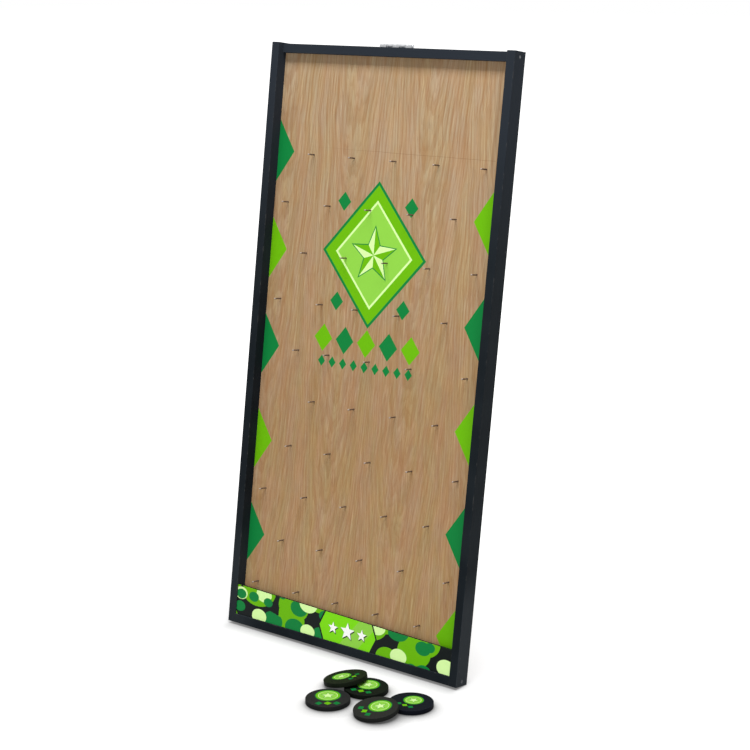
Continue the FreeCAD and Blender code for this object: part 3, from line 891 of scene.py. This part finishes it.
# %% [markdown]
# ## The screws
# A screw's head shows its kind: these are cross recess screws. The recess is two
# crossed bars cut out of the head with a Boolean, once, before the pattern is copied.
# One bar is a little deeper, because a Boolean is least sure of itself where two
# faces share a plane. Countersunk heads lie flush, and pan heads stand up. No two
# screws stop at the same angle, so each is turned a little further than the last.


# %% A tree for cross recess screws
# Width, length and depth of each bar, as shares of the shank's radius and the recess.
RECESS_BARS = ((0.32, 1.45, 2.0), (1.45, 0.32, 2.1))
THREAD_STEP = 0.00005


def screw_tree(name, sizes, material):
    bench, size = new_tree(name, sizes)
    neck = -size["Crown"] - size["Head"]
    body = turned(bench, [
        (size["Radius"] * 0.8, -size["Length"]),
        (size["Radius"], neck - THREAD_STEP),
        (size["Neck radius"], neck),
        (size["Head radius"], -size["Crown"]),
        (size["Crown radius"], 0.0),
    ], size["Sides"])
    cutting = {"operation": "DIFFERENCE", "solver": "EXACT"}
    cut = bench.node("GeometryNodeMeshBoolean", cutting, {0: body})
    for across, along, deep in RECESS_BARS:
        bar_size = bench.node("ShaderNodeCombineXYZ", {}, {
            0: size["Radius"] * across, 1: size["Radius"] * along, 2: size["Recess"] * deep})
        bar = bench.node("GeometryNodeMeshCube", {}, {"Size": bar_size})
        bench.tree.links.new(bar.socket, cut.socket.node.inputs[1])
    set_on_points(bench, cut, size["Geometry"], material)
    return bench


# %% Sizes and places of the screws
SCREW_TURN = 2.4
HEAD_RADIUS = 0.0036
flat_sizes = {"Sides": 20, "Crown": 0.0002, "Crown radius": 0.0034,
              "Head radius": HEAD_RADIUS, "Head": 0.0024, "Neck radius": 0.0019,
              "Radius": 0.0019, "Length": 0.0381, "Recess": 0.0011}
hinge_changes = {"Crown": 0.0001, "Crown radius": 0.0030, "Head radius": 0.0031,
                 "Head": 0.0017, "Neck radius": 0.0016, "Radius": 0.0016,
                 "Length": 0.0140, "Recess": 0.0009}
pan_changes = {"Crown": 0.0009, "Crown radius": 0.0023, "Head radius": 0.0032,
               "Head": 0.0009, "Neck radius": 0.0032, "Radius": 0.0016,
               "Length": 0.0118, "Recess": 0.0009}


def screws(name, like, changes, material, body):
    sizes = dict(flat_sizes, **changes)
    places = []
    for index, corners in enumerate(solids_of(like)):
        head, aim = head_and_aim(corners)
        start = Vector(aim).orthogonal().normalized()
        start.rotate(Matrix.Rotation(SCREW_TURN * index, 3, Vector(aim)))
        places.append((head, aim, start))
    bench = screw_tree(name, sizes, material)
    piece_from_points(name, places, bench, sizes, body, [like])


# %% [markdown]
# ## Paint on the fixings
# The frame's screws and brads were painted over with it, so they show only as small
# rounds in the black. One is bare: a driver has rubbed the paint off the screw near
# the top right corner. The bare metal is a spot round that head's middle.


# %% Paint on the fixings
def screw_paint():
    finish = Finish("screw_paint")
    place = finish.place(LEAN)
    across, depth, up = finish.split(place)
    low, high = upright_box("rail_screws")
    ahead = depth - (low[1] + HEAD_RADIUS)
    above = up - (high[2] - HEAD_RADIUS)
    speckle = finish.noise(place, 500.0, 2.0)
    reach = (ahead * ahead + above * above) ** 0.5 + speckle * 0.0008
    bare = (across > 0.25) * reach.within(0.0022, 0.0014)
    paint = finish.over(speckle, seen(34, 38, 43), seen(48, 52, 58))
    colour = finish.over(bare, paint, seen(150, 152, 154))
    return finish.done(colour, 0.45 - bare * 0.1 + speckle * 0.08, bare * 0.9)


def brad_paint():
    finish = Finish("brad_paint")
    speckle = finish.noise(finish.place(LEAN), 700.0, 2.0)
    colour = finish.over(speckle, seen(36, 40, 45), seen(70, 72, 74))
    return finish.done(colour, 0.45 + speckle * 0.1)


# %% Set the screws and paint the brads
screws("frame_screws", "rail_screws", {}, screw_paint(), "board")
screws("board_leaf_screws", "hinge_board_screws", hinge_changes, board_steel, "board")
screws("leg_leaf_screws", "hinge_leg_screws", hinge_changes, leg_steel, "leg")
screws("bracket_screws", "stay_bracket_screws", pan_changes, board_steel, "board")

painted_brads = brad_paint()
for name in ("back_panel_brads", "catch_panel_brads"):
    finish_node(name, painted_brads)

# %% [markdown]
# ## The playing discs
# Five discs of black board lie in front. Each is a turned slab with rounded rims. The
# print on its top face is drawn in the disc's own UV map, which holds real sizes, so
# it lies right however the disc lies and leans. The discs weren't made in one go:
# each has its print at a size of its own. Each also has a black of its own, which is
# painted light and shade: darker on the discs at the back and on the right one, and
# paler on the two in front.


# %% Print on a disc
DISC_SCALE = 10.0
DISC_BLUR = 0.0002
DISC_DARK = seen(9, 97, 43)
DISC_GREEN = seen(84, 147, 8)
DISC_PALE = seen(170, 200, 131)
DISC_FRESH = seen(111, 164, 57)
DISC_RINGS = ((0.0258, DISC_DARK), (0.0240, DISC_GREEN),
              (0.0196, DISC_PALE), (0.0184, DISC_FRESH))
DISC_STARS = ((0.0150, 0.0064, DISC_DARK), (0.0128, 0.0055, DISC_PALE))
DISC_MARKS = ((-0.0175, DISC_DARK), (0.0, DISC_GREEN), (0.0175, DISC_DARK))
RINGS_RISE = 0.0105
MARKS_DROP = 0.0262


def disc_face(finish, x, z, colour):
    """Rings and a star, with three small lozenges below."""
    up = z - RINGS_RISE
    for radius, green in DISC_RINGS:
        colour = finish.over(ink(circle(x, up, radius), DISC_BLUR), colour, green)
    for outer, inner, green in DISC_STARS:
        colour = finish.over(ink(star(x, up, outer, inner), DISC_BLUR), colour, green)
    for aside, green in DISC_MARKS:
        mark = lozenge(x - aside, z + MARKS_DROP, 0.0080, 0.0078)
        colour = finish.over(ink(mark, DISC_BLUR), colour, green)
    return colour


# %% Disc finish
def disc_print(name, share, dark, light):
    """One disc's finish: the share is the size of its print, then its two blacks, set darker
    or paler as painted light and shade.
    """
    finish = Finish(name + "_print")
    flat = finish.node("ShaderNodeUVMap", {"uv_map": "face"})
    u, v, _ = finish.split(flat)
    to_metres = 1 / DISC_SCALE / share
    fleck = finish.noise(flat, 260.0, 3.0, 0.7)
    # Painted light and shade: each disc's two blacks are set darker or paler by where the disc
    # lies.
    black = finish.over(fleck, seen(*dark), seen(*light))
    printed = disc_face(finish, (u - 0.5) * to_metres, (v - 0.5) * to_metres, black)
    top = finish.node("ShaderNodeAttribute", {"attribute_name": "top"}, output=2)
    colour = finish.over(top > 0.5, black, printed)
    return finish.done(colour, 0.52 + fleck * 0.14, height=fleck, relief=0.00005,
                       Specular_IOR_Level=0.04)


# %% [markdown]
# ## Turning the discs
# The rim is a quarter round at the foot and one at the top. The tree writes the UV map
# from the place on the disc, and marks the top face by its normal, so that the print
# stays off the rim and the underside. How each disc lies comes from its CAD solid: the
# direction in which its corners spread least is its normal.


# %% A tree for discs
DISC_RIM = 0.0009
DISC_BORDER = 0.012
DISC_SIDES = 96
RIM_STEPS = 4
FACING_UP = 0.9


def half_rim(size):
    """Rings of the underside's edge, out from its border and up round the rim."""
    ring = [(size["Radius"] - size["Border"], 0.0)]
    for step in range(RIM_STEPS + 1):
        angle = math.pi / 2 * step / RIM_STEPS
        ring.append((size["Radius"] - size["Rim"] * (1 - math.sin(angle)),
                     size["Rim"] * (1 - math.cos(angle))))
    return ring


def disc_tree(sizes, material):
    bench, size = new_tree("disc", sizes)
    lower = half_rim(size)
    upper = [(far, size["Thickness"] - height) for far, height in reversed(lower)]
    slab = turned(bench, lower + upper, size["Sides"])
    place = bench.node("GeometryNodeInputPosition")
    spread_out = bench.node("ShaderNodeVectorMath", {"operation": "MULTIPLY_ADD"},
                            {0: place, 1: (DISC_SCALE,) * 3, 2: (0.5, 0.5, 0.5)})
    mapped = bench.node("GeometryNodeStoreNamedAttribute",
                        {"data_type": "FLOAT2", "domain": "CORNER"},
                        {0: slab, "Name": "face", "Value": spread_out})
    facing = bench.node("GeometryNodeInputNormal")
    rise = bench.node("ShaderNodeSeparateXYZ", {}, {0: facing}, 2)
    marked = bench.node("GeometryNodeStoreNamedAttribute",
                        {"data_type": "FLOAT", "domain": "FACE"},
                        {0: mapped, "Name": "top", "Value": rise > FACING_UP})
    set_on_points(bench, marked, size["Geometry"], material)
    return bench


# %% How a disc lies
def disc_place(name, turn_degrees):
    """Foot, normal and side of a disc as it lies, with its radius and thickness."""
    corners = points_of(name)
    middle, directions = main_axes(corners)
    normal = Vector(directions[2])
    if normal.z < 0:
        normal = -normal
    turn = math.radians(turn_degrees)
    side = Vector((math.cos(turn), math.sin(turn), 0))
    side = (side - normal * side.dot(normal)).normalized()
    height = (corners - middle) @ np.array(normal)
    thickness = float(height.max() - height.min())
    radius = float(np.linalg.norm(corners - middle - np.outer(height, normal), axis=1).max())
    foot = Vector(middle) - normal * (thickness / 2)
    return (foot, normal, side), radius, thickness


# %% Turn the discs
# How many degrees each disc is turned, its print's share of size, and its two blacks, which
# are painted light and shade: darker at the back, paler in front.
DISC_LOOKS_AND_PAINTED_SHADE = {
    "disc_back_left": (100, 0.78, (12, 18, 10), (22, 28, 18)),
    "disc_back_middle": (12, 0.92, (8, 12, 8), (17, 22, 17)),
    "disc_front_left": (38, 1.0, (23, 25, 25), (34, 35, 35)),
    "disc_front_middle": (-28, 0.92, (25, 27, 25), (36, 37, 35)),
    "disc_right": (0, 0.80, (8, 10, 16), (17, 20, 28)),
}
disc_sizes = {"Radius": 0.0, "Thickness": 0.0, "Rim": DISC_RIM, "Border": DISC_BORDER,
              "Sides": DISC_SIDES}
for name, (turn, share, dark, light) in DISC_LOOKS_AND_PAINTED_SHADE.items():
    bench = disc_tree(disc_sizes, disc_print(name, share, dark, light))
    place, disc_sizes["Radius"], disc_sizes["Thickness"] = disc_place(name, turn)
    piece_from_points(name + "_made", [place], bench, disc_sizes, name, [name],
                      crease=50)

# %% [markdown]
# ## The camera
# The photograph was taken from the board's right, a little above its top, with a
# long lens. The place and direction were solved from the frame's corners.

# %% Camera
CAMERA_PLACE = Vector((2.1398, -2.7097, 1.4156))
YAW = math.radians(37.337)
PITCH = math.radians(13.355)
SENSOR = 36
LENS = 83.67
look = Vector((-math.sin(YAW) * math.cos(PITCH), math.cos(YAW) * math.cos(PITCH),
               -math.sin(PITCH)))
right = Vector((math.cos(YAW), math.sin(YAW), 0))
above = right.cross(look)
camera_data = bpy.data.cameras.new("camera")
camera_data.sensor_width = SENSOR
camera_data.lens = LENS
camera_data.clip_end = 200
camera = added("camera", camera_data)
camera.matrix_world = Matrix((
    (right.x, above.x, -look.x, CAMERA_PLACE.x),
    (right.y, above.y, -look.y, CAMERA_PLACE.y),
    (right.z, above.z, -look.z, CAMERA_PLACE.z),
    (0, 0, 0, 1),
))
bpy.context.scene.camera = camera
print("camera", round(CAMERA_PLACE.length, 2), "m from the board's foot")

# %% [markdown]
# ## The floor
# The board stands on a white sweep. To the camera, in reflections and through clear
# pieces, the floor and the world are white; the object itself is lit at a plain
# level. Where something touches the floor, an Ambient Occlusion node darkens it within
# a few centimetres, as a white studio floor shows it. The node's normal leans away
# from the camera, so each place looks for things behind it, and the shade falls in
# front of them. It is deepest round the discs, and weak beside the frame. The floor
# glows the more the farther it lies, until it meets the white of the world.


# %% Floor
SHADE_REACH = 0.036
SHADE_AIM = (-0.42, 0.38, 0.82)
# Each pair is where a part of the floor begins and where it is reached in full.
DISCS_FLOOR = (-0.070, -0.085)
RIGHT_OF_BOARD = (0.300, 0.312)
BACK_FROM_FRONT = (-0.06, -0.04)
FLOOR_GREY = (0.30, 0.30, 0.30, 1)
WHITE = (1, 1, 1, 1)
HALF_FLOOR = 40.0
FLOOR_DROP = 0.0004


def shown_rays(bench):
    """1 to the camera, in reflections and through clear pieces, and 0 to the rest."""
    ways = bench.node("ShaderNodeLightPath").socket.node.outputs
    shown = Wire(bench, ways["Is Camera Ray"])
    for way in ("Is Glossy Ray", "Is Transmission Ray"):
        shown = shown.largest(Wire(bench, ways[way]))
    return shown


def contact_shade(finish, across, behind):
    """1 on the open floor, falling to a small share where something stands on it."""
    values = {"Distance": SHADE_REACH, "Normal": finish.join(*SHADE_AIM)}
    contact = finish.node("ShaderNodeAmbientOcclusion", {"samples": 16}, values, 1)
    away = behind.within(*DISCS_FLOOR)
    least = 0.20 - away * 0.10
    contact = contact ** (away + 0.9) * (1 - least) + least
    beside = across.within(*RIGHT_OF_BOARD) * behind.within(*BACK_FROM_FRONT)
    return contact + (1 - contact) * beside * 0.75


def floor_finish():
    finish = Finish("floor_white")
    shown = shown_rays(finish)
    place = finish.node("ShaderNodeTexCoord", output=3)
    far = finish.node("ShaderNodeVectorMath", {"operation": "LENGTH"}, {0: place}, 1)
    across, behind, _ = finish.split(place)
    contact = contact_shade(finish, across, behind)
    lift = far.within(0.35, 1.4) * 0.10 + far.within(1.0, 6.0) * 0.42 + 0.54
    # The floor glows more behind the board: painted light, which pales the board's own shadow
    # there.
    lift = lift + behind.within(-0.05, 0.25) * 0.18
    pale = finish.over(contact, (0.0, 0.0, 0.0, 1), FLOOR_GREY)
    matt = finish.node("ShaderNodeBsdfDiffuse", {}, {"Color": pale})
    glow = finish.node("ShaderNodeEmission", {},
                       {"Color": WHITE, "Strength": shown * lift * contact})
    both = finish.node("ShaderNodeAddShader", {}, {0: matt, 1: glow})
    finish.node("ShaderNodeOutputMaterial", {}, {0: both})
    return finish.material


floor_mesh = bpy.data.meshes.new("floor")
floor_corners = [(-HALF_FLOOR, -HALF_FLOOR, 0), (HALF_FLOOR, -HALF_FLOOR, 0),
                 (HALF_FLOOR, HALF_FLOOR, 0), (-HALF_FLOOR, HALF_FLOOR, 0)]
floor_mesh.from_pydata(floor_corners, [], [(0, 1, 2, 3)])
floor_mesh.materials.append(floor_finish())
floor = added("floor", floor_mesh)
floor.location.z = -FLOOR_DROP
print("floor", 2 * HALF_FLOOR, "m wide")

# %% [markdown]
# ## Studio light
# A wide, shallow lamp overhead and to the right grazes the panel, so that the top rail
# and the right rail draw soft shade on it. A weaker one fills from the front, and
# another lights the back. The world adds a little light from all sides.

# %% World and lamps
SKY_LIGHT = 0.22
world = bpy.data.worlds.new("studio")
bpy.context.scene.world = world
world.use_nodes = True
world.node_tree.nodes.clear()
sky = Bench(world.node_tree)
strength = SKY_LIGHT + shown_rays(sky) * (1 - SKY_LIGHT)
sky_light = sky.node("ShaderNodeBackground", {}, {"Color": WHITE, "Strength": strength})
sky.node("ShaderNodeOutputWorld", {}, {0: sky_light})


def lamp(name, place, target, width, depth, watts):
    data = bpy.data.lights.new(name, "AREA")
    data.shape = "RECTANGLE"
    data.size = width
    data.size_y = depth
    data.energy = watts
    made = added(name, data)
    made.location = place
    made.rotation_euler = (Vector(target) - Vector(place)).to_track_quat("-Z", "Y").to_euler()
    print(name, watts, "W")


lamp("overhead", (1.2, -1.16, 6.5), (1.2, 0.05, 0.6), 5.2, 1.4, 690)
lamp("front_fill", (1.0, -3.2, 1.2), (0, 0, 0.4), 2.0, 2.0, 38)
lamp("back_fill", (-0.6, 3.6, 2.6), (0, 0, 0.6), 2.6, 2.0, 95)
bpy.context.scene.view_settings.view_transform = "Standard"
